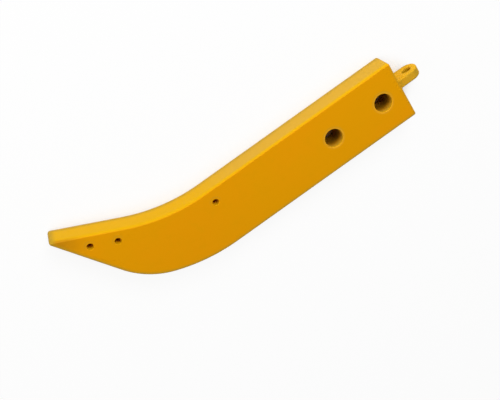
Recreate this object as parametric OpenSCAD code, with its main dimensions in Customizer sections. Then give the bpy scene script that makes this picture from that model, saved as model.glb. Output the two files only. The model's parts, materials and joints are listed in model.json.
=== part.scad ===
// Ripper shank: one thick steel plate with a straight stem and a hooked wedge nose.
// Two bores take the carrier's pins, three small bores take the pins of the wear parts,
// and a lifting eye is welded to the top end.
// It lies on its broad side: X runs up the stem, Y points to the concave front,
// Z is the plate's thickness. The origin is the upper pin bore's centre at mid-thickness.

/* [Plate] */
// Thickness of the plate
plate_t = 100; // [90:1:130]
// Width of the stem, from its front edge to its back edge
stem_w = 210; // [170:1:260]
// How far the rounded edges draw in at the broad sides
edge_in = 6; // [2:0.5:6]
// How far the rounding of the front and back edges reaches over the thickness
edge_drop = 20; // [8:1:30]
// How far the rounding of the top end's edges reaches over the thickness
end_drop = 8; // [6:0.5:9]
// Radius of the two corners of the top end, seen from the broad side
corner_r = 8; // [7:0.5:16]

/* [Front edge] */
// Straight front edge, from the top end to the bend
front_straight = 717; // [560:1:900]
// Radius of the concave bend
front_bend_r = 577; // [400:1:800]
// Angle of the nose's front face to the stem
nose_angle = 27; // [20:0.5:32]

/* [Back edge] */
// Straight back edge, from the top end to the bend
back_straight = 719; // [600:1:900]
// Radius of the first, wide bend
back_bend_r = 588; // [420:1:800]
// Angle turned by the wide bend
back_bend_angle = 22; // [16:0.5:28]
// Radius of the heel
heel_r = 272; // [200:1:320]
// Angle of the underside to the stem
underside_angle = 60; // [54:0.5:66]
// Radius of the blunt tip where the underside meets the front face
tip_r = 7.5; // [7:0.5:12]

/* [Carrier pin bores] */
// Diameter of the two bores on the stem's centre line
pin_bore_d = 61; // [40:0.5:80]
// From the top end to the upper bore's centre
pin_from_end = 78; // [60:1:110]
// From the upper bore's centre to the lower bore's centre
pin_pitch = 195; // [140:1:260]
// Chamfer at the mouths of the two bores
pin_mouth = 2; // [0.5:0.5:4]

/* [Wear part pin bores] */
// Diameter of the three small bores
wear_bore_d = 22; // [16:0.5:30]
// Chamfer at the mouths of the small bores
wear_mouth = 1; // [0.5:0.5:2]
// From the nose's sharp point along its front face to the first tooth pin
tooth_pin_from_point = 139; // [115:1:150]
// Spacing of the two tooth pins along the nose
tooth_pin_pitch = 88; // [60:1:110]
// Depth of the tooth pins behind the nose's front face
tooth_pin_inset = 40; // [34:0.5:46]
// From the top end to the guard pin
guard_pin_from_end = 702; // [560:1:720]
// Depth of the guard pin behind the stem's front edge
guard_pin_inset = 47; // [34:0.5:60]

/* [Lifting eye] */
// Thickness of the lug
eye_t = 31; // [24:1:36]
// Flat left on the end face between the weld and the rounded edges
eye_land = 1; // [1:0.5:4]
// From the stem's end face to the hole's centre
eye_reach = 50; // [44:1:80]
// Diameter of the hole
eye_hole_d = 32; // [20:0.5:34]
// Chamfer at the mouths of the hole
eye_mouth = 3; // [1:0.5:3]
// Rounding of the lug's edges
eye_edge_r = 5; // [3:0.5:7]
// From the stem's front edge to the middle of the lug
eye_from_front = 93; // [50:1:110]
// Leg of the fillet weld round the lug's root
weld_leg = 5; // [3:0.5:6]

/* [Hidden] */
$fn = 96;

// Largest gap between a round stretch of the plate and its chords
chord_gap = 0.08;
// How far a cutting shape runs past the face it cuts
cut_over = 1;
// How far the plate's loft runs past the broad sides, as a share of its last chord
loft_over = 0.25;

// Faces of the stem
end_x = pin_from_end;
front_y = stem_w / 2;
back_y = -stem_w / 2;

// Width of the lug, which stands on the flat of the end face with its weld
eye_w = plate_t - 2 * (end_drop + eye_land + weld_leg);

// Centres of the bends of the outline
front_bend_centre = [end_x - front_straight, front_y + front_bend_r];
back_bend_centre = [end_x - back_straight, back_y + back_bend_r];
heel_centre = back_bend_centre - (back_bend_r - heel_r) * [sin(back_bend_angle), cos(back_bend_angle)];

// Sharp point where the front face of the nose and the underside would cross
point_angle = underside_angle - nose_angle;
nose_start = front_bend_centre - front_bend_r * [sin(nose_angle), cos(nose_angle)];
underside_start = heel_centre - heel_r * [sin(underside_angle), cos(underside_angle)];
nose_gap = nose_start - underside_start;
nose_length = (nose_gap.x * sin(underside_angle) + nose_gap.y * cos(underside_angle)) / sin(point_angle);
nose_point = nose_start + nose_length * [-cos(nose_angle), sin(nose_angle)];
point_axis = [cos(nose_angle + point_angle / 2), -sin(nose_angle + point_angle / 2)];
tip_centre = nose_point + tip_r / sin(point_angle / 2) * point_axis;

// Number of chords that keeps an arc within the chord gap
function chords(r, turn) = ceil(turn / (2 * acos(1 - chord_gap / r)));

// Points along an arc, leaving out the first ones if asked
function arc(centre, r, from, to, steps, skip = 0) =
    [for (i = [skip : steps]) let(a = from + (to - from) * i / steps) centre + r * [cos(a), sin(a)]];

// How far an edge that reaches over a drop draws in at a height above the middle of the plate
function drawn_in(height, drop) =
    let(share = max(0, height - plate_t / 2 + drop) / drop)
    edge_in * (1 - sqrt(max(0, 1 - share * share)));

// Outline of the plate drawn in from its own, turning from the top end by the front to the back
function outline(inset, end_inset) =
    let(r = corner_r - inset, corner_x = end_x - end_inset - r)
    concat(
        arc([corner_x, back_y + corner_r], r, -90, 0, chords(corner_r, 90)),
        arc([corner_x, front_y - corner_r], r, 0, 90, chords(corner_r, 90)),
        arc(front_bend_centre, front_bend_r + inset, -90, -90 - nose_angle, chords(front_bend_r, nose_angle)),
        arc(tip_centre, tip_r - inset, 90 - nose_angle, 270 - underside_angle, chords(tip_r, 180 - point_angle)),
        arc(heel_centre, heel_r - inset, 270 - underside_angle, 270 - back_bend_angle,
            chords(heel_r, underside_angle - back_bend_angle)),
        arc(back_bend_centre, back_bend_r - inset, 270 - back_bend_angle, 270,
            chords(back_bend_r, back_bend_angle), skip = 1)
    );

// Plate lofted from outlines that draw in towards both broad sides, which rounds its edges.
// The loft runs a little past the broad sides and is cut off flat there.
module rounded_plate() {
    edge_steps = chords(edge_drop, 90);
    round_over = [for (i = [0 : edge_steps])
        let(height = plate_t / 2 - edge_drop * (1 - sin(90 * i / edge_steps)))
        [drawn_in(height, edge_drop), drawn_in(height, end_drop), height]];
    past_side = round_over[edge_steps] + loft_over * (round_over[edge_steps] - round_over[edge_steps - 1]);
    upper = concat(round_over, [past_side]);
    lower = [for (i = [edge_steps + 1 : -1 : 0]) [upper[i].x, upper[i].y, -upper[i].z]];
    rings = [for (level = concat(lower, upper)) [for (p = outline(level.x, level.y)) [p.x, p.y, level.z]]];
    count = len(rings[0]);
    top = len(rings) - 1;
    sides = [for (k = [0 : top - 1], j = [0 : count - 1])
        let(next = (j + 1) % count)
        [k * count + j, (k + 1) * count + j, (k + 1) * count + next, k * count + next]];
    bottom_face = [for (j = [0 : count - 1]) j];
    top_face = [for (j = [count - 1 : -1 : 0]) top * count + j];
    intersection() {
        polyhedron([for (ring = rings) each ring], concat(sides, [bottom_face, top_face]), convexity = 4);
        translate([nose_point.x, back_y - cut_over, -plate_t / 2])
            cube([end_x + cut_over - nose_point.x, nose_point.y + cut_over - back_y, plate_t]);
    }
}

// Bore along Z with chamfered mouths at both faces of a wall of thickness t
module bore(d, mouth, t) {
    wide = d / 2 + mouth + cut_over;
    face = t / 2;
    past = face + cut_over;
    rotate_extrude()
        polygon([[0, -past], [wide, -past], [d / 2, mouth - face], [d / 2, face - mouth], [wide, past], [0, past]]);
}

// Places of the carrier's pins
module carrier_pin_places() {
    for (i = [0, 1])
        translate([-i * pin_pitch, 0, 0]) children();
}

// Places of the wear parts' pins
module wear_pin_places() {
    for (i = [0, 1])
        translate(nose_point)
            rotate(-nose_angle)
                translate([tooth_pin_from_point + i * tooth_pin_pitch, -tooth_pin_inset, 0]) children();
    translate([end_x - guard_pin_from_end, front_y - guard_pin_inset, 0]) children();
}

module shank() {
    color([0.86, 0.59, 0.03])
        difference() {
            rounded_plate();
            carrier_pin_places() bore(pin_bore_d, pin_mouth, plate_t);
            wear_pin_places() bore(wear_bore_d, wear_mouth, plate_t);
        }
}

// Place of the lug's root on the end face
module at_eye_root() {
    translate([end_x, front_y - eye_from_front, 0]) children();
}

// Half of the lug's section, from its middle to its rounded edge
module lug_half_section() {
    difference() {
        translate([0, -eye_t / 2]) square([eye_w / 2, eye_t]);
        for (side = [0, 1])
            mirror([0, side])
                translate([eye_w / 2 - eye_edge_r, eye_t / 2 - eye_edge_r])
                    difference() {
                        square(eye_edge_r + cut_over);
                        circle(eye_edge_r);
                    }
    }
}

module lifting_eye() {
    color([0.88, 0.64, 0.12])
        at_eye_root()
            translate([eye_reach, 0, 0])
                rotate([90, 0, 0])
                    difference() {
                        union() {
                            for (side = [0, 1])
                                mirror([0, side, 0])
                                    rotate([90, 0, -90]) linear_extrude(eye_reach) lug_half_section();
                            rotate(-90) rotate_extrude(angle = 180) lug_half_section();
                        }
                        bore(eye_hole_d, eye_mouth, eye_t);
                    }
}

// Quarter of the weld ring, from the middle of the lug's side to the middle of its face
module weld_quarter() {
    side_half = eye_t / 2 - eye_edge_r;
    face_half = eye_w / 2 - eye_edge_r;
    fillet = [[0, 0], [weld_leg, 0], [0, weld_leg]];
    translate([eye_t / 2, face_half, 0]) rotate([90, 0, 0]) linear_extrude(face_half) polygon(fillet);
    translate([side_half, face_half, 0])
        rotate_extrude(angle = 90) translate([eye_edge_r, 0]) polygon(fillet);
    translate([0, eye_w / 2, 0]) rotate([90, 0, 90]) linear_extrude(side_half) polygon(fillet);
}

module eye_weld() {
    color([0.82, 0.58, 0.08])
        at_eye_root()
            rotate([90, 0, 90])
                for (front = [0, 1], up = [0, 1])
                    mirror([front, 0, 0]) mirror([0, up, 0]) weld_quarter();
}

shank();
lifting_eye();
eye_weld();
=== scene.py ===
"""Ripper shank: paint, weld bead, floor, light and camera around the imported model."""

import json
import logging
import math
from dataclasses import dataclass
from enum import Enum
from typing import Any, Mapping, Optional, Sequence, Union

import bpy
from mathutils import Matrix, Vector


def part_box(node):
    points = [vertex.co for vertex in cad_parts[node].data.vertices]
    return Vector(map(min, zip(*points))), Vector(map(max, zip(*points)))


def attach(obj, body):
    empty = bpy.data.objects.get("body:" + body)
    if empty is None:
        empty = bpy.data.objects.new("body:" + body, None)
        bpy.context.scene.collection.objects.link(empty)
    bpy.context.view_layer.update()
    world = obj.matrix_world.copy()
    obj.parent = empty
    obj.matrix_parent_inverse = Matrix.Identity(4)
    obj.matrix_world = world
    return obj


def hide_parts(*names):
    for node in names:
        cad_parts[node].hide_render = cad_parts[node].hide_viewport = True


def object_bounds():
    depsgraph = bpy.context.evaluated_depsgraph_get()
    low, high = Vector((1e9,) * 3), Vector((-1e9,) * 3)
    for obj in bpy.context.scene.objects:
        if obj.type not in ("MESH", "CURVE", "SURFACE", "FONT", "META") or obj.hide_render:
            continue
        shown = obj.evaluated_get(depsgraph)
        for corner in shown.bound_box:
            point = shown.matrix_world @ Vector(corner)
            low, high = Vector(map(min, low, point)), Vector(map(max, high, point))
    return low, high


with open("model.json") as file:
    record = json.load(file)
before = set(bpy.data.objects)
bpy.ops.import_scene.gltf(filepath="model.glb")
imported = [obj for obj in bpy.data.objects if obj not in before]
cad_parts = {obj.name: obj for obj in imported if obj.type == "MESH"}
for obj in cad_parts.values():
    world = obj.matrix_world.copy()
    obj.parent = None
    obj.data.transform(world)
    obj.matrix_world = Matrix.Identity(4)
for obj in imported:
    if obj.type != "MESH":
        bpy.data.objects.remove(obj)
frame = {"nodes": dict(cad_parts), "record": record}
CAD_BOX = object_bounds()

LOG = logging.getLogger("ripper_shank")
BODY = "root"
MM = 0.001
JOIN_GAP = 0.002 * MM

Colour = tuple[float, float, float]
Span = tuple[float, float]
Number = Union["Wire", float]


class BoreAxis(Enum):
    """Axis of the part that a bore runs along."""

    X = (1.0, 0.0, 0.0)
    Y = (0.0, 1.0, 0.0)
    Z = (0.0, 0.0, 1.0)

    @classmethod
    def nearest(cls, direction: Sequence[float]) -> "BoreAxis":
        """Axis that a mount's direction lies along."""
        return max(cls, key=lambda axis: abs(Vector(axis.value).dot(Vector(direction))))

    def across(self) -> tuple[float, ...]:
        """Factors that keep only the two directions across the bore."""
        return tuple(1.0 - share for share in self.value)


class Sight(Enum):
    """Kinds of ray that see the pale background at full strength."""

    CAMERA = "Is Camera Ray"
    GLOSSY = "Is Glossy Ray"
    CLEAR = "Is Transmission Ray"


class Grain(Enum):
    """Noise patterns: clouds in a metre, octaves of finer clouds, and strength of the finer ones."""

    CLOUD = (3.4, 3.0, 0.5)
    WAVE = (16.0, 1.0, 0.5)
    MOTTLE = (34.0, 5.0, 0.6)
    CUT_LINE = (240.0, 2.0, 0.5)
    SPECK = (310.0, 2.0, 0.5)


@dataclass(frozen=True)
class Bore:
    """A drilled hole, read from the record's mounts.

    Attributes:
        centre: Middle of the bore.
        axis: Axis that it runs along.
        radius: Radius of its straight wall.
        half_wall: Half the length of the straight wall.
    """

    centre: Vector
    axis: BoreAxis
    radius: float
    half_wall: float

    @classmethod
    def from_record(cls, along: BoreAxis) -> list["Bore"]:
        """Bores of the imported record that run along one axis.

        Args:
            along: Axis that picks the bores.

        Returns:
            The bores in the record's order.
        """
        found = []
        for mount in frame["record"]["mounts"]:
            if mount["kind"] != "bore" or BoreAxis.nearest(mount["axis"]) is not along:
                continue
            radius = mount["dims"]["r_mm"] * MM
            half_wall = mount["dims"]["length_mm"] * MM / 2
            found.append(cls(Vector(mount["pos_m"]), along, radius, half_wall))
        return found


class Wire:
    """Output of a node that takes part in Python arithmetic."""

    def __init__(self, bench: "Bench", socket: bpy.types.NodeSocket) -> None:
        """Keeps the socket and the bench that made its node."""
        self.bench = bench
        self.socket = socket

    def __add__(self, other: Number) -> "Wire":
        """Sum with a value."""
        return self.bench.math("ADD", self, other)

    def __radd__(self, other: Number) -> "Wire":
        """Sum with a number on the left."""
        return self.bench.math("ADD", other, self)

    def __sub__(self, other: Number) -> "Wire":
        """Difference from a value."""
        return self.bench.math("SUBTRACT", self, other)

    def __rsub__(self, other: Number) -> "Wire":
        """Difference from a number on the left."""
        return self.bench.math("SUBTRACT", other, self)

    def __mul__(self, other: Number) -> "Wire":
        """Product with a value."""
        return self.bench.math("MULTIPLY", self, other)

    def __rmul__(self, other: Number) -> "Wire":
        """Product with a number on the left."""
        return self.bench.math("MULTIPLY", other, self)

    def __or__(self, other: Number) -> "Wire":
        """Larger of two masks."""
        return self.bench.math("MAXIMUM", self, other)

    def __ror__(self, other: Number) -> "Wire":
        """Larger of a number on the left and the mask."""
        return self.bench.math("MAXIMUM", other, self)

    def __abs__(self) -> "Wire":
        """Size of the value without its sign."""
        return self.bench.math("ABSOLUTE", self)

    def ease(self, low: float, high: float) -> "Wire":
        """Smooth step from 0 at one value to 1 at another.

        Args:
            low: Value that gives 0.
            high: Value that gives 1.

        Returns:
            The eased mask.
        """
        return self.bench.wire(
            "ShaderNodeMapRange",
            {"interpolation_type": "SMOOTHSTEP"},
            {"Value": self, "From Min": low, "From Max": high},
        )

    def spread(self, least: float, most: float) -> "Wire":
        """Value that runs from one share at 0 to another at 1."""
        return least + (most - least) * self

    def sibling(self, name: str) -> "Wire":
        """Another output of the same node."""
        return Wire(self.bench, self.socket.node.outputs[name])


class Bench:
    """Workbench for one node tree, where its nodes are made and linked."""

    def __init__(self, tree: bpy.types.NodeTree) -> None:
        """Clears the tree for new nodes."""
        self.tree = tree
        tree.nodes.clear()

    def node(
        self,
        kind: str,
        settings: Optional[Mapping[str, Any]] = None,
        sockets: Optional[Mapping[Union[str, int], Any]] = None,
    ) -> bpy.types.Node:
        """Makes any node.

        Args:
            kind: Blender's name for the type of node.
            settings: Properties of the node, which are set first.
            sockets: Values or wires for its inputs, by name or number.

        Returns:
            The new node.
        """
        made = self.tree.nodes.new(kind)
        for name, value in (settings or {}).items():
            setattr(made, name, value)
        for key, value in (sockets or {}).items():
            if isinstance(value, Wire):
                self.tree.links.new(value.socket, made.inputs[key])
            else:
                made.inputs[key].default_value = value
        return made

    def wire(
        self,
        kind: str,
        settings: Optional[Mapping[str, Any]] = None,
        sockets: Optional[Mapping[Union[str, int], Any]] = None,
        output: Union[str, int] = 0,
    ) -> Wire:
        """Makes any node and hands back one of its outputs.

        Args:
            kind: Blender's name for the type of node.
            settings: Properties of the node, which are set first.
            sockets: Values or wires for its inputs, by name or number.
            output: Name or number of the output.

        Returns:
            The output as a wire.
        """
        return Wire(self, self.node(kind, settings, sockets).outputs[output])

    def math(self, operation: str, *values: Number) -> Wire:
        """Result of one operation on values."""
        return self.wire("ShaderNodeMath", {"operation": operation}, dict(enumerate(values)))

    def vector(self, operation: str, *values: Any, output: str = "Vector") -> Wire:
        """Result of one operation on vectors."""
        return self.wire("ShaderNodeVectorMath", {"operation": operation}, dict(enumerate(values)), output)

    def blend(self, share: Number, first: Union[Wire, Colour], second: Union[Wire, Colour]) -> Wire:
        """Blends two colours.

        Args:
            share: Share of the second colour.
            first: Colour at share 0.
            second: Colour at share 1.

        Returns:
            The blended colour.
        """
        ends = [end if isinstance(end, Wire) else (*end, 1.0) for end in (first, second)]
        return self.wire("ShaderNodeMix", {"data_type": "RGBA"}, {0: share, 6: ends[0], 7: ends[1]}, 2)

    def split(self, vector: Wire) -> tuple[Wire, Wire, Wire]:
        """Parts of a vector along X, Y and Z."""
        part = self.wire("ShaderNodeSeparateXYZ", sockets={0: vector})
        return part, part.sibling("Y"), part.sibling("Z")

    def noise(self, place: Wire, grain: Grain) -> Wire:
        """Cloudy value from 0 to 1.

        Args:
            place: Point of the surface.
            grain: Pattern of the clouds.

        Returns:
            The value.
        """
        scale, detail, roughness = grain.value
        return self.wire(
            "ShaderNodeTexNoise",
            sockets={"Vector": place, "Scale": scale, "Detail": detail, "Roughness": roughness},
        )


@dataclass(frozen=True)
class LightAndMarks:
    """Where the painted light and shade and the marks on the steel begin and end, and how patchy they are.

    A pair gives the two values between which a mask changes. Distances are in metres, and the
    parts of a direction are those of a unit vector. A softened direction is the mean over an edge.
    A pair that ends in share is how much of a mark shows where the mottling is 0 and where it is 1.

    Attributes:
        outline: Upright part of the direction, from the outline's faces to the broad sides.
        flat_edge: Upright part of the softened direction, from an edge's flat to its rounding.
        stem: Height up the stem over which the painted sheen, partly the rubbing of the carrier's pocket,
            sets in.
        sheen_and_rubbing_share: Share of the painted sheen and the rubbing.
        socket: Distance from the nose's tip over which its sides' darkening fades.
        darkened_side: Upright part of the direction, from the outline's faces to the nose's darker sides.
        nose_darkening_share: Share of the darkening.
        back: Backward part of the softened direction, from the front without shade to the back with
            painted shade.
        end_counts: How far a face of the top end counts as backward.
        upper_edge: Upward part of the softened direction, from the outline's faces to the upper edges.
        floor_side: Height over the plate's middle, from the painted shade near the floor to the plain
            coat.
        underside: Upward part of the softened direction, from the plain underside to the shaded lower
            edges.
        tip: Distance from the nose's tip over which its darkening fades.
        edge_shade_share: Share of the painted shade and of the tip's darkening.
        mouth: Distance outside a bore's wall over which the wall's own coat ends.
        wall: Share of a bore's half length over which the wall's own coat and its painted shade fade.
        ring: Distance outside a bore's wall over which the ring round its mouth fades.
        mouth_highlight_share: Share of the painted highlight in such a ring.
    """

    outline: Span = (0.3, 0.9)
    flat_edge: Span = (0.01, 0.36)
    stem: Span = (-0.68, -0.48)
    sheen_and_rubbing_share: Span = (0.6, 1.0)
    socket: Span = (0.025, 0.130)
    darkened_side: Span = (0.06, 0.40)
    nose_darkening_share: Span = (0.6, 1.1)
    back: Span = (0.02, 0.28)
    end_counts: float = 0.4
    upper_edge: Span = (0.50, 0.80)
    floor_side: Span = (-0.038, -0.014)
    underside: Span = (-0.99, -0.85)
    tip: Span = (0.006, 0.026)
    edge_shade_share: Span = (0.5, 1.2)
    mouth: Span = (0.3 * MM, 0.9 * MM)
    wall: Span = (0.15, 0.95)
    ring: Span = (2 * MM, 9 * MM)
    mouth_highlight_share: Span = (0.0, 0.7)


class Surface:
    """A painted surface as its material sees it."""

    def __init__(self, bench: Bench, light_and_marks: LightAndMarks, edge_reach: float) -> None:
        """Reads a point's place, the direction that it faces and its mottling.

        Args:
            bench: Bench of the material.
            light_and_marks: Where the painted light and shade and the marks begin and end.
            edge_reach: Radius over which the softened direction is taken.
        """
        self.bench = bench
        self.light_and_marks = light_and_marks
        self.place = bench.wire("ShaderNodeTexCoord", output="Object")
        self.softened = bench.wire("ShaderNodeBevel", {"samples": 8}, {"Radius": edge_reach})
        self.upright = abs(bench.split(self.place.sibling("Normal"))[2])
        self.outline_face = 1 - self.upright.ease(*light_and_marks.outline)
        self.mottle = bench.noise(self.place, Grain.MOTTLE)
        self.speck = bench.noise(self.place, Grain.SPECK)

    def bored(self, bores: Sequence[Bore]) -> tuple[Number, Number]:
        """Masks of the bores' walls and of the rings round their mouths.

        Args:
            bores: The bores.

        Returns:
            The walls, from 0 at their mouths to 1 deep inside, and the rings. Both are 0 for no bore.
        """
        walls: Number = 0.0
        rings: Number = 0.0
        for bore in bores:
            offset = self.bench.vector("SUBTRACT", self.place, tuple(bore.centre))
            level = self.bench.vector("MULTIPLY", offset, bore.axis.across())
            outside = self.bench.vector("LENGTH", level, output="Value") - bore.radius
            along = self.bench.vector("DOT_PRODUCT", offset, bore.axis.value, output="Value")
            inside = 1 - outside.ease(*self.light_and_marks.mouth)
            fade_from, fade_to = (share * bore.half_wall for share in self.light_and_marks.wall)
            walls = walls | (inside * (1 - abs(along).ease(fade_from, fade_to)))
            rings = rings | ((1 - inside) * (1 - outside.ease(*self.light_and_marks.ring)))
        return walls, rings

    def tip_gap(self) -> Wire:
        """Measures how far the nose's tip is, as seen from the broad side.

        Returns:
            The distance.
        """
        tip = next(mount["pos_m"] for mount in frame["record"]["mounts"] if mount["name"] == "nose")
        level = self.bench.vector("MULTIPLY", self.place, BoreAxis.Z.across())
        return self.bench.vector("DISTANCE", level, tuple(tip), output="Value")

    def sheen_and_rubbing(self) -> Wire:
        """Finds the stem's edges that get a paler tone: painted sheen, partly where the carrier's pocket
        has rubbed them.

        Returns:
            The mask.
        """
        height = self.bench.split(self.place)[0]
        upward = self.bench.split(self.softened)[2]
        flat = 1 - abs(upward).ease(*self.light_and_marks.flat_edge)
        return flat * height.ease(*self.light_and_marks.stem) * self.mottle.spread(*self.light_and_marks.sheen_and_rubbing_share)

    def nose_darkening(self) -> Wire:
        """Finds the nose's broad sides near its tip, which are painted darker.

        Returns:
            The mask.
        """
        near = 1 - self.tip_gap().ease(*self.light_and_marks.socket)
        sides = self.upright.ease(*self.light_and_marks.darkened_side)
        return near * sides * self.mottle.spread(*self.light_and_marks.nose_darkening_share)

    def shaded_edges(self) -> Wire:
        """Finds the painted shade on the upper edges at the back and the top end and on the lower edges,
        and the darker tip.

        Returns:
            The mask.
        """
        endward, forward, upward = self.bench.split(self.softened)
        backward = self.light_and_marks.end_counts * abs(endward) - forward
        upper = backward.ease(*self.light_and_marks.back) * upward.ease(*self.light_and_marks.upper_edge)
        above = self.bench.split(self.place)[2]
        lower = (1 - above.ease(*self.light_and_marks.floor_side)) * upward.ease(*self.light_and_marks.underside)
        tip = 1 - self.tip_gap().ease(*self.light_and_marks.tip)
        return (upper | lower | tip) * self.mottle.spread(*self.light_and_marks.edge_shade_share)


@dataclass(frozen=True)
class MachineEnamel:
    """Satin machine enamel sprayed on steel, with painted sheen, highlight and shade, darkest deep in the
    wide bores.

    Attributes:
        name: Name of the material.
        main: Colour of most of the coat.
        warm: Colour where the coat lies thicker.
        clouds: Cloud values between which the main colour turns warm.
        deep: Colour of the mottling.
        mottles: Mottling values between which its colour sets in.
        deep_share: Share of the mottling's colour.
        outline_sheen: Colour of the faces along the outline, a lighter, yellower copy of the coat: painted
            sheen.
        sheen_and_rubbing: Paler colour on the stem's edges: painted sheen, partly the rubbing of the
            carrier's pocket.
        nose_darkening: Darker colour of the nose's sides near its tip.
        edge_shade: Darker colour of the rounded edges that face the floor, the back and the top end, which
            is painted shade, and of the nose's tip.
        edge_reach: Width of the painted shade beside an upper edge.
        mouth_highlight: Lighter colour round the mouths of the wide bores: painted highlight.
        primer_and_shade: Colour of the bores' walls below the top coat; on the lug a darker copy of the
            coat, painted shade in its hole.
        bore_shade: Dark colour deep in the wide bores: painted shade.
        wide_from: Radius from which a bore counts as wide.
        light_and_marks: Where the painted light and shade and the marks begin and end.
        roughness: Mean roughness of the coat.
        mottle_gloss: How far the mottling moves the roughness either way.
        speck_gloss: How far the spray texture moves the roughness either way.
        bore_gloss: How much rougher the bores' walls are.
        specular: Strength of the coat's gloss.
        peel: Height of the spray texture, in millimetres.
        waves: Height of the steel's slow waves, in millimetres.
        drag: Height of the cutting lines on the outline's faces, in millimetres.
        line_squeeze: Factor that draws the cutting lines out through the plate's thickness.
    """

    name: str
    main: Colour = (0.800, 0.338, 0.0006)
    warm: Colour = (0.825, 0.330, 0.0010)
    clouds: Span = (0.36, 0.64)
    deep: Colour = (0.765, 0.330, 0.0004)
    mottles: Span = (0.45, 0.75)
    deep_share: float = 0.45
    outline_sheen: Colour = (0.745, 0.398, 0.0006)
    sheen_and_rubbing: Colour = (0.662, 0.376, 0.0330)
    nose_darkening: Colour = (0.560, 0.235, 0.0040)
    edge_shade: Colour = (0.500, 0.300, 0.0180)
    edge_reach: float = 18 * MM
    mouth_highlight: Colour = (0.820, 0.430, 0.0400)
    primer_and_shade: Colour = (0.860, 0.345, 0.0030)
    bore_shade: Colour = (0.250, 0.110, 0.0030)
    wide_from: float = 15 * MM
    light_and_marks: LightAndMarks = LightAndMarks()
    roughness: float = 0.48
    mottle_gloss: float = 0.06
    speck_gloss: float = 0.03
    bore_gloss: float = 0.10
    specular: float = 0.04
    peel: float = 0.012
    waves: float = 0.10
    drag: float = 0.03
    line_squeeze: float = 0.03

    def coat(self, surface: Surface, bores: Sequence[Bore]) -> tuple[Wire, Wire]:
        """Colours the coat and sets its roughness.

        Args:
            surface: The painted surface.
            bores: Bores of the piece.

        Returns:
            The colour and the roughness.
        """
        bench, mottle = surface.bench, surface.mottle
        cloud = bench.noise(surface.place, Grain.CLOUD)
        bore_walls, mouths = surface.bored(bores)
        shaded_walls, rings = surface.bored([bore for bore in bores if bore.radius > self.wide_from])
        mouth_highlights = rings * mottle.spread(*self.light_and_marks.mouth_highlight_share)

        colour = bench.blend(cloud.ease(*self.clouds), self.main, self.warm)
        colour = bench.blend(self.deep_share * mottle.ease(*self.mottles), colour, self.deep)
        # Painted sheen: the outline's faces get a lighter, yellower copy of the coat.
        colour = bench.blend(surface.outline_face, colour, self.outline_sheen)
        # Painted sheen on the stem's edges, partly the rubbing of the carrier's pocket.
        colour = bench.blend(surface.sheen_and_rubbing(), colour, self.sheen_and_rubbing)
        # The nose's broad sides are painted darker towards its tip.
        colour = bench.blend(surface.nose_darkening(), colour, self.nose_darkening)
        # Painted shade on the rounded edges that face the floor, the back and the top end, and a darker
        # nose tip.
        colour = bench.blend(surface.shaded_edges() * (1 - mouths), colour, self.edge_shade)
        # Painted highlight in a ring round the wide bores' mouths.
        colour = bench.blend(mouth_highlights, colour, self.mouth_highlight)
        # The bores' walls in their own coat; on the lug a darker one, painted shade in its hole.
        colour = bench.blend(bore_walls, colour, self.primer_and_shade)
        # Painted shade deep in the wide bores.
        colour = bench.blend(shaded_walls, colour, self.bore_shade)

        mottled = mottle.spread(-self.mottle_gloss, self.mottle_gloss)
        specked = surface.speck.spread(-self.speck_gloss, self.speck_gloss)
        return colour, self.roughness + mottled + specked + self.bore_gloss * bore_walls

    def relief(self, surface: Surface) -> Wire:
        """Bumps the surface.

        Args:
            surface: The painted surface.

        Returns:
            The direction that the bumped surface faces.
        """
        bench = surface.bench
        squeezed = bench.vector("MULTIPLY", surface.place, (1.0, 1.0, self.line_squeeze))
        lines = bench.noise(squeezed, Grain.CUT_LINE) * surface.outline_face
        slow = bench.noise(surface.place, Grain.WAVE)
        height = self.peel * surface.speck + self.waves * slow + self.drag * lines
        return bench.wire("ShaderNodeBump", sockets={"Strength": 1.0, "Distance": MM, "Height": height})

    def material(self, bores: Sequence[Bore] = ()) -> bpy.types.Material:
        """Makes the material.

        Args:
            bores: Bores of the piece that wears it.

        Returns:
            The material.
        """
        made = bpy.data.materials.new(self.name)
        made.use_nodes = True
        bench = Bench(made.node_tree)
        surface = Surface(bench, self.light_and_marks, self.edge_reach)
        colour, roughness = self.coat(surface, bores)
        shader = bench.wire(
            "ShaderNodeBsdfPrincipled",
            sockets={
                "Base Color": colour,
                "Roughness": roughness,
                "Specular IOR Level": self.specular,
                "Normal": self.relief(surface),
            },
        )
        bench.node("ShaderNodeOutputMaterial", sockets={"Surface": shader})
        return made


def background_rays(bench: Bench) -> Wire:
    """Mask of the rays that see the pale background at full strength.

    Args:
        bench: Bench of the floor's or the world's nodes.

    Returns:
        1 for those rays and 0 for the others.
    """
    path = bench.wire("ShaderNodeLightPath", output=Sight.CAMERA.value)
    return path | path.sibling(Sight.GLOSSY.value) | path.sibling(Sight.CLEAR.value)


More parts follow.
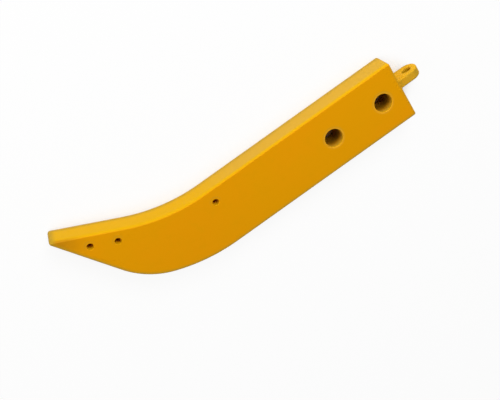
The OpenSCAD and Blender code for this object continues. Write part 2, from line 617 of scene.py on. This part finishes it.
@dataclass(frozen=True)
class PaleFloor:
    """Matt white floor that shows white where nothing stands near it.

    Attributes:
        colour: Colour of the floor.
        lift: Share of plain white that the camera sees away from the object.
        reach: How far the object darkens the floor beside it.
        open_from: Openness of the floor where the plain white starts and where it is full.
    """

    colour: Colour = (0.92, 0.92, 0.92)
    lift: float = 0.92
    reach: float = 0.22
    open_from: Span = (0.15, 0.75)

    def material(self) -> bpy.types.Material:
        """Makes the floor's material.

        Returns:
            The material.
        """
        made = bpy.data.materials.new("pale_floor")
        made.use_nodes = True
        bench = Bench(made.node_tree)
        seen = background_rays(bench)
        openness = bench.wire("ShaderNodeAmbientOcclusion", sockets={"Distance": self.reach}, output="AO")
        matt = bench.wire("ShaderNodeBsdfDiffuse", sockets={"Color": (*self.colour, 1.0)})
        white = bench.wire("ShaderNodeEmission", sockets={"Strength": 1.0})
        share = seen * self.lift * openness.ease(*self.open_from)
        shader = bench.wire("ShaderNodeMixShader", sockets={0: share, 1: matt, 2: white})
        bench.node("ShaderNodeOutputMaterial", sockets={"Surface": shader})
        return made


def add_object(name: str, data: bpy.types.ID) -> bpy.types.Object:
    """Links a new object into the scene.

    Args:
        name: Name of the object.
        data: Its mesh, lamp or camera.

    Returns:
        The new object.
    """
    made = bpy.data.objects.new(name, data)
    bpy.context.scene.collection.objects.link(made)
    return made


def smooth_curves(piece: bpy.types.Object, sharpest: float) -> None:
    """Shades a faceted node smoothly, and keeps its sharp edges and flat faces.

    Args:
        piece: The node's object.
        sharpest: Angle between faces that still counts as a curve, in radians.
    """
    tree = bpy.data.node_groups.new(piece.name + "_smooth_curves", "GeometryNodeTree")
    tree.interface.new_socket("Geometry", in_out="INPUT", socket_type="NodeSocketGeometry")
    tree.interface.new_socket("Geometry", in_out="OUTPUT", socket_type="NodeSocketGeometry")
    bench = Bench(tree)
    plain = bench.wire(
        "GeometryNodeRemoveAttribute",
        sockets={"Geometry": bench.wire("NodeGroupInput"), "Name": "custom_normal"},
    )
    joined = bench.wire("GeometryNodeMergeByDistance", sockets={"Geometry": plain, "Distance": JOIN_GAP})
    smooth = bench.wire("GeometryNodeSetShadeSmooth", sockets={"Geometry": joined, "Shade Smooth": True})
    angle = bench.wire("GeometryNodeInputMeshEdgeAngle", output="Unsigned Angle")
    sharp = bench.wire(
        "FunctionNodeCompare", {"operation": "GREATER_THAN"}, {0: angle, 1: sharpest}, output="Result"
    )
    creased = bench.wire(
        "GeometryNodeSetShadeSmooth",
        {"domain": "EDGE"},
        {"Geometry": smooth, "Selection": sharp, "Shade Smooth": False},
    )
    bench.node("NodeGroupOutput", sockets={0: creased})
    piece.modifiers.new("smooth_curves", "NODES").node_group = tree
    weighted = piece.modifiers.new("flat_faces", "WEIGHTED_NORMAL")
    weighted.keep_sharp = True
    weighted.weight = 100


def wear(piece: bpy.types.Object, material: bpy.types.Material) -> None:
    """Puts a material on a piece.

    Args:
        piece: The piece.
        material: Its only material.
    """
    if not piece.material_slots:
        piece.data.materials.append(material)
    for holder in piece.material_slots:
        holder.material = material


@dataclass
class Plate:
    """The shank's plate, with its stem, bend, nose and bores.

    Attributes:
        node: Name of the CAD node.
        paint: Finish of the plate.
        curve_angle: Largest angle between facets of one curve, in degrees.
    """

    node: str = "shank"
    paint: MachineEnamel = MachineEnamel("shank_enamel")
    curve_angle: float = 30.0

    def dress(self) -> bpy.types.Object:
        """Shades the plate's curves and paints it.

        Returns:
            The plate's object.
        """
        piece = frame["nodes"][self.node]
        smooth_curves(piece, math.radians(self.curve_angle))
        wear(piece, self.paint.material(Bore.from_record(BoreAxis.Z)))
        return piece


@dataclass
class LiftingLug:
    """The lug with the lifting hole.

    Attributes:
        node: Name of the CAD node.
        paint: Finish of the lug, darker than the plate's as painted shade, with painted highlights on its
            outline faces and painted shade in its hole.
    """

    node: str = "lifting_eye"
    # The lug's main coat is a darker copy of the plate's, painted shade on its sides; its outline colours
    # are lighter, painted highlights, and its hole's colours darker, painted shade.
    paint: MachineEnamel = MachineEnamel(
        "eye_enamel",
        main=(0.655, 0.370, 0.020),
        warm=(0.675, 0.360, 0.022),
        outline_sheen=(0.76, 0.40, 0.008),
        sheen_and_rubbing=(0.76, 0.41, 0.012),
        mouth_highlight=(0.72, 0.39, 0.014),
        primer_and_shade=(0.48, 0.26, 0.003),
        bore_shade=(0.46, 0.25, 0.002),
        edge_reach=4 * MM,
        peel=0.02,
        waves=0.2,
        drag=0.0,
    )

    def dress(self) -> bpy.types.Object:
        """Paints the lug.

        Returns:
            The lug's object.
        """
        piece = frame["nodes"][self.node]
        wear(piece, self.paint.material(Bore.from_record(BoreAxis.Y)))
        return piece


@dataclass
class WeldBead:
    """The rippled fillet bead round the lug's root.

    Attributes:
        node: Name of the CAD node that it stands for.
        lug_node: Name of the lug's CAD node.
        lug_corner: Rounding of the lug's edges.
        crown: How far the bead swells past a straight fillet.
        slow_wander: Share of the leg that comes and goes three times round the lug.
        quick_wander: Share of the leg that comes and goes seven times round the lug.
        ripple: Height of its ripples.
        ripple_bow: How far the middle of a ripple runs ahead of its ends, in ripples.
        ripple_power: Power that widens the ripples' crests.
        ripples: Number of ripples round the lug.
        ripple_steps: Sections along each ripple.
        face_steps: Steps across the bead's face.
        sink: How far its hidden corner lies inside the lug and the plate.
        paint: Finish of the bead.
    """

    node: str = "eye_weld"
    lug_node: str = "lifting_eye"
    lug_corner: float = 5 * MM
    crown: float = 0.9 * MM
    slow_wander: float = 0.04
    quick_wander: float = 0.02
    ripple: float = 0.35 * MM
    ripple_bow: float = 0.45
    ripple_power: float = 0.7
    ripples: int = 62
    ripple_steps: int = 10
    face_steps: int = 10
    sink: float = 0.4 * MM
    paint: MachineEnamel = MachineEnamel(
        "weld_enamel", main=(0.70, 0.31, 0.006), warm=(0.73, 0.30, 0.006), peel=0.03, waves=0.0, drag=0.0
    )

    def __post_init__(self) -> None:
        """Reads the boxes of the lug and of the plain fillet."""
        self.lug_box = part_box(self.lug_node)
        self.fillet_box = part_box(self.node)

    def root_point(self, share: float) -> tuple[Vector, Vector]:
        """Point of the lug's outline at its root.

        Args:
            share: Share of the way round, from 0 to 1.

        Returns:
            The point and the direction away from the lug, in the end face's plane.
        """
        low, high = self.lug_box
        middle = (low + high) / 2
        half_y = (high.y - low.y) / 2 - self.lug_corner
        half_z = (high.z - low.z) / 2 - self.lug_corner
        quarter = math.pi / 2 * self.lug_corner
        runs = [2 * half_z, quarter, 2 * half_y, quarter] * 2
        left = share % 1.0 * sum(runs)
        index = 0
        while left > runs[index]:
            left -= runs[index]
            index += 1
        side, is_corner = divmod(index, 2)
        corner_y = half_y if side in (0, 3) else -half_y
        corner_z = half_z if side in (0, 1) else -half_z
        turn = side * math.pi / 2 + (left / self.lug_corner if is_corner else 0.0)
        away = Vector((0.0, math.cos(turn), math.sin(turn)))
        ahead = Vector((0.0, -math.sin(turn), math.cos(turn)))
        corner = Vector((low.x, middle.y + corner_y, middle.z + corner_z))
        back = Vector() if is_corner else ahead * (left - runs[index])
        return corner + back + away * self.lug_corner, away

    def section(self, share: float) -> list[Vector]:
        """One section of the bead.

        Args:
            share: Share of the way round the lug.

        Returns:
            Points from the toe on the plate to the toe on the lug, then the hidden corner.
        """
        low, high = self.fillet_box
        root, away = self.root_point(share)
        up = Vector((1.0, 0.0, 0.0))
        turn = 2 * math.pi * share
        slow = self.slow_wander * (1 + math.sin(3 * turn + 0.6))
        quick = self.quick_wander * (1 + math.sin(7 * turn))
        leg = (high.x - low.x) * (1 - slow - quick)
        points = []
        for step in range(self.face_steps + 1):
            way = step / self.face_steps
            arch = math.sin(math.pi * way)
            phase = share * self.ripples + self.ripple_bow * arch
            scallop = abs(math.sin(math.pi * phase)) ** self.ripple_power
            swell = arch * (self.crown - self.ripple * (1 - scallop))
            out = leg * (1 - way) + swell / math.sqrt(2)
            rise = leg * way + swell / math.sqrt(2)
            points.append(root + away * out + up * rise)
        points[0] -= up * self.sink
        points[-1] -= away * self.sink
        points.append(root - away * self.sink - up * self.sink)
        return points

    def build(self) -> bpy.types.Object:
        """Builds the bead, which stands for the plain CAD fillet.

        Returns:
            The bead's object.
        """
        count = self.ripples * self.ripple_steps
        rings = [self.section(index / count) for index in range(count)]
        width = len(rings[0])
        faces = []
        for index in range(count):
            near = index * width
            far = (index + 1) % count * width
            for step in range(width):
                after = (step + 1) % width
                faces.append((near + step, far + step, far + after, near + after))
        mesh = bpy.data.meshes.new("weld_bead")
        mesh.from_pydata([point for ring in rings for point in ring], [], faces)
        mesh.shade_smooth()
        piece = add_object("weld_bead", mesh)
        wear(piece, self.paint.material())
        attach(piece, BODY)
        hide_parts(self.node)
        return piece


@dataclass(frozen=True)
class Softbox:
    """A square studio lamp that points at the part.

    Attributes:
        name: Name of the lamp.
        heading: Direction that it stands in, in degrees from +X towards +Y.
        elevation: Its height above the floor, as an angle in degrees.
        distance: Distance from the part's middle.
        side: Length of its side.
        level: Light on a surface that faces it, where 1 shows a colour as written.
    """

    name: str
    heading: float
    elevation: float
    distance: float
    side: float
    level: float

    def build(self, target: Vector) -> bpy.types.Object:
        """Hangs the lamp.

        Args:
            target: Point that the lamp faces.

        Returns:
            The lamp.
        """
        turn, rise = math.radians(self.heading), math.radians(self.elevation)
        away = Vector((math.cos(turn) * math.cos(rise), math.sin(turn) * math.cos(rise), math.sin(rise)))
        data = bpy.data.lights.new(self.name, "AREA")
        data.shape = "SQUARE"
        data.size = self.side
        data.energy = self.level * (math.pi * self.distance) ** 2
        lamp = add_object(self.name, data)
        lamp.location = target + away * self.distance
        lamp.rotation_mode = "QUATERNION"
        lamp.rotation_quaternion = away.to_track_quat("Z", "Y")
        return lamp


@dataclass(frozen=True)
class Viewpoint:
    """The camera, high over the concave side of the part.

    Attributes:
        eye: Where the camera stands.
        aim: Point of the plate's middle plane in the middle of the picture.
        up_heading: Direction on the floor that is up in the picture, in degrees from +X towards +Y.
        focal: Focal length over the sensor's width.
        sensor: Width of the sensor, in millimetres.
    """

    eye: Vector = Vector((-0.5563, 1.2453, 2.5097))
    aim: Vector = Vector((-0.5305, -0.0308, 0.0))
    up_heading: float = 57.77
    focal: float = 1.7151
    sensor: float = 36.0

    def build(self) -> bpy.types.Object:
        """Sets up the camera and makes it the scene's own.

        Returns:
            The camera.
        """
        data = bpy.data.cameras.new("camera")
        data.sensor_width = self.sensor
        data.lens = self.focal * self.sensor
        turn = math.radians(self.up_heading)
        hint = Vector((math.cos(turn), math.sin(turn), 0.0))
        back = (self.eye - self.aim).normalized()
        right = hint.cross(back).normalized()
        up = back.cross(right)
        turned = Matrix((right, up, back)).transposed().to_4x4()
        camera = add_object("camera", data)
        camera.matrix_world = Matrix.Translation(self.eye) @ turned
        bpy.context.scene.camera = camera
        return camera


@dataclass
class Studio:
    """Floor, lamps and surroundings.

    Attributes:
        floor_half: Half the floor's side.
        floor_gap: Gap that keeps the floor clear of the part's underside.
        floor: Finish of the floor.
        lamps: The lamps.
        wall: Colour of the surroundings near the horizon.
        ceiling: Colour of the surroundings overhead.
        wall_top: Upward part of the direction where the wall ends and where the ceiling starts.
        fill: Strength of the light from the surroundings.
    """

    floor_half: float = 14.0
    floor_gap: float = 0.2 * MM
    floor: PaleFloor = PaleFloor()
    lamps: tuple[Softbox, ...] = (
        Softbox("key_softbox", heading=62.0, elevation=46.0, distance=5.0, side=2.2, level=0.80),
        Softbox("fill_softbox", heading=150.0, elevation=44.0, distance=5.0, side=2.2, level=0.22),
    )
    wall: Colour = (1.0, 1.0, 1.0)
    ceiling: Colour = (0.10, 0.10, 0.10)
    wall_top: Span = (0.25, 0.70)
    fill: float = 0.6

    def lay_floor(self) -> bpy.types.Object:
        """Lays the floor just under the lowest point of the part.

        Returns:
            The floor.
        """
        level = CAD_BOX[0].z - self.floor_gap
        ways = [(-1, -1), (1, -1), (1, 1), (-1, 1)]
        corners = [(self.floor_half * x, self.floor_half * y, level) for x, y in ways]
        mesh = bpy.data.meshes.new("floor")
        mesh.from_pydata(corners, [], [(0, 1, 2, 3)])
        mesh.materials.append(self.floor.material())
        piece = add_object("floor", mesh)
        return piece

    def hang_surroundings(self) -> bpy.types.World:
        """Sets pale walls and a darker ceiling round the floor.

        Returns:
            The world.
        """
        world = bpy.data.worlds.new("studio")
        world.use_nodes = True
        bench = Bench(world.node_tree)
        upward = bench.split(bench.wire("ShaderNodeTexCoord", output="Generated"))[2]
        colour = bench.blend(upward.ease(*self.wall_top), self.wall, self.ceiling)
        strength = self.fill + (1 - self.fill) * background_rays(bench)
        light = bench.wire("ShaderNodeBackground", sockets={"Color": colour, "Strength": strength})
        bench.node("ShaderNodeOutputWorld", sockets={"Surface": light})
        bpy.context.scene.world = world
        return world

    def build(self) -> bpy.types.Object:
        """Lays the floor and lights the part.

        Returns:
            The floor.
        """
        self.hang_surroundings()
        middle = (CAD_BOX[0] + CAD_BOX[1]) / 2
        for lamp in self.lamps:
            LOG.info("lamp %s", lamp.build(middle).name)
        return self.lay_floor()


def write_sizes() -> None:
    """Updates the view layer."""
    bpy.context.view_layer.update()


def main() -> None:
    """Builds the camera, the pieces and the studio in order."""
    logging.basicConfig(level=logging.INFO, format="%(message)s")
    bpy.context.scene.view_settings.view_transform = "Standard"
    LOG.info("camera %s", Viewpoint().build().name)
    LOG.info("piece %s", Plate().dress().name)
    LOG.info("piece %s", LiftingLug().dress().name)
    LOG.info("piece %s", WeldBead().build().name)
    LOG.info("stage %s", Studio().build().name)
    write_sizes()


if __name__ == "__main__":
    main()
